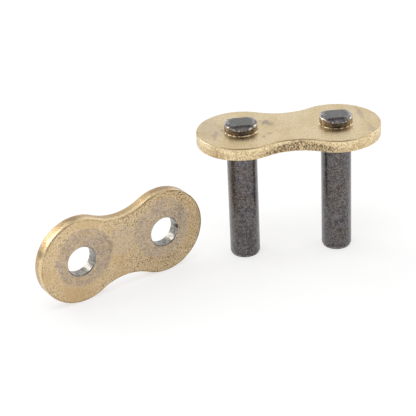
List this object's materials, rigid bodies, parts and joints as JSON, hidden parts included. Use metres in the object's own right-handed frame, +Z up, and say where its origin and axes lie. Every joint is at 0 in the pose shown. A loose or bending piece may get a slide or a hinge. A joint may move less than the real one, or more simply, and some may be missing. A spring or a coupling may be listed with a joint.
{
  "type": "chain connecting link",
  "caption": "Riveting-type connecting link for a roller chain: an outer plate with two staked pins standing on their free ends, and the loose outer plate on edge beside it.",
  "frame": {"origin": "on the fixed side plate's inner face, midway between the two pins", "axes": "+X along the pitch towards the right pin, +Z up out of the fixed plate, opposite to the pins' free ends; the pins stand on the plane z = -20.9 mm"},
  "size_m": [0.0587, 0.0227, 0.0245],
  "materials": {
    "gold_plate": "steel strip with a satin gold-coloured plating, lightly mottled and rubbed",
    "dark_pin_steel": "through-hardened pin steel, dark grey-brown from heat treatment, satin"
  },
  "bodies": {
    "root": {"fixed_side_plate": "gold_plate", "loose_side_plate": "gold_plate", "left_rivet_pin": "dark_pin_steel", "right_rivet_pin": "dark_pin_steel"}
  },
  "joints": []
}
